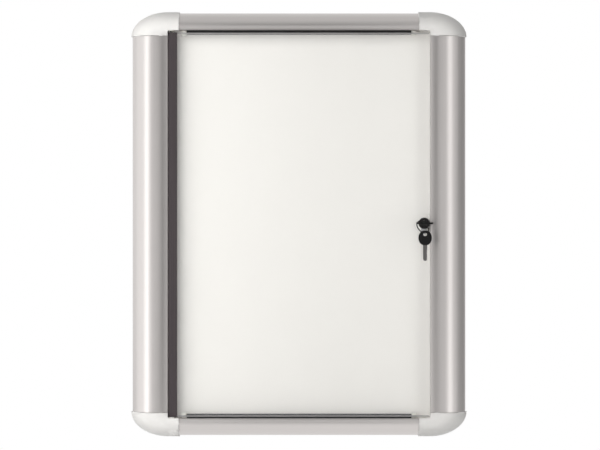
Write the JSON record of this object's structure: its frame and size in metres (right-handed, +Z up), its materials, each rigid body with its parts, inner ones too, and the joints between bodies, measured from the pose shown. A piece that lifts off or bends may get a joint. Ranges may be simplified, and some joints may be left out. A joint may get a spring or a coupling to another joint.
{
  "type": "lockable notice board",
  "caption": "Wall notice board with a rounded aluminium frame, moulded corner caps, a hinged clear door and a cam lock that holds a key and ring.",
  "frame": {"origin": "centre of the flat rear sheet, on the plane of the wall that the board hangs on", "axes": "+X to the right as seen from the front, +Y out of the board's back into the wall, +Z up; the front faces -Y"},
  "size_m": [0.536, 0.0827, 0.678],
  "materials": {
    "anodised_aluminium": "satin anodised extrusion with fine lengthwise lines",
    "cap_plastic": "light grey moulded plastic with a fine satin grain",
    "zinc_steel": "zinc plated steel",
    "pale_nylon": "natural moulded nylon",
    "black_rubber": "matt black extruded rubber",
    "white_enamel": "smooth white enamel on steel",
    "core_fibre": "pressed fibre board",
    "galvanised_steel": "thin galvanised sheet with a faint spangle",
    "clear_acrylic": "clear polished acrylic with a bevelled edge",
    "charcoal_aluminium": "satin charcoal anodised",
    "dark_nickel": "black nickel plated, polished",
    "black_plastic": "black moulded key bow, satin",
    "key_steel": "nickel plated steel, lightly worn"
  },
  "bodies": {
    "case": {"left_side_profile": "anodised_aluminium", "right_side_profile": "anodised_aluminium", "top_rail": "anodised_aluminium", "bottom_rail": "anodised_aluminium", "corner_cap_top_left": "cap_plastic", "corner_cap_top_right": "cap_plastic", "corner_cap_bottom_left": "cap_plastic", "corner_cap_bottom_right": "cap_plastic", "corner_bracket_top_left": "zinc_steel", "corner_bracket_top_right": "zinc_steel", "corner_bracket_bottom_left": "zinc_steel", "corner_bracket_bottom_right": "zinc_steel", "side_bracket_screw_top_left": "zinc_steel", "side_bracket_screw_top_right": "zinc_steel", "side_bracket_screw_bottom_left": "zinc_steel", "side_bracket_screw_bottom_right": "zinc_steel", "rail_bracket_screw_top_left": "zinc_steel", "rail_bracket_screw_top_right": "zinc_steel", "rail_bracket_screw_bottom_left": "zinc_steel", "rail_bracket_screw_bottom_right": "zinc_steel", "door_buffer_top_left": "pale_nylon", "door_buffer_top_right": "pale_nylon", "door_buffer_bottom_left": "pale_nylon", "door_buffer_bottom_right": "pale_nylon", "top_door_seal": "black_rubber", "bottom_door_seal": "black_rubber", "top_hinge_bush": "pale_nylon", "bottom_hinge_bush": "pale_nylon", "white_steel_sheet": "white_enamel", "core_board": "core_fibre", "rear_sheet": "galvanised_steel"},
    "door": {"clear_door_panel": "clear_acrylic", "hinge_stile": "charcoal_aluminium", "top_hinge_pin": "key_steel", "bottom_hinge_pin": "key_steel", "lock_housing": "dark_nickel", "lock_washer": "zinc_steel", "lock_nut": "zinc_steel"},
    "plug": {"lock_plug": "dark_nickel", "lock_cam": "zinc_steel", "cam_screw": "zinc_steel"},
    "key": {"key_blade": "key_steel", "key_bow": "black_plastic"},
    "ring": {"key_ring": "key_steel"},
    "spare": {"spare_key_blade": "key_steel", "spare_key_bow": "black_plastic"}
  },
  "joints": [
    {"name": "door_swing", "type": "hinge", "parent": "case", "child": "door", "pos_m": [-0.2023, -0.0345, 0], "axis": [0, 0, -1], "range_deg": [0, 105]},
    {"name": "lock_turn", "type": "hinge", "parent": "door", "child": "plug", "pos_m": [0.1986, -0.039, 0.0015], "axis": [0, -1, 0], "range_deg": [0, 90]},
    {"name": "key_withdraw", "type": "slide", "parent": "plug", "child": "key", "axis": [0, -1, 0], "range_m": [0, 0.028]},
    {"name": "ring_hang", "type": "hinge", "parent": "key", "child": "ring", "pos_m": [0.1986, -0.06, 0.0015], "axis": [0, -1, 0], "range_deg": [-90, 0]},
    {"name": "spare_key_swing", "type": "hinge", "parent": "ring", "child": "spare", "pos_m": [0.19839, -0.07219, -0.01368], "axis": [0.788, 0.6157, 0], "range_deg": [-25, 25]}
  ],
  "couplings": [
    {"joint": "ring_hang", "follows": "lock_turn", "ratio": -1}
  ]
}
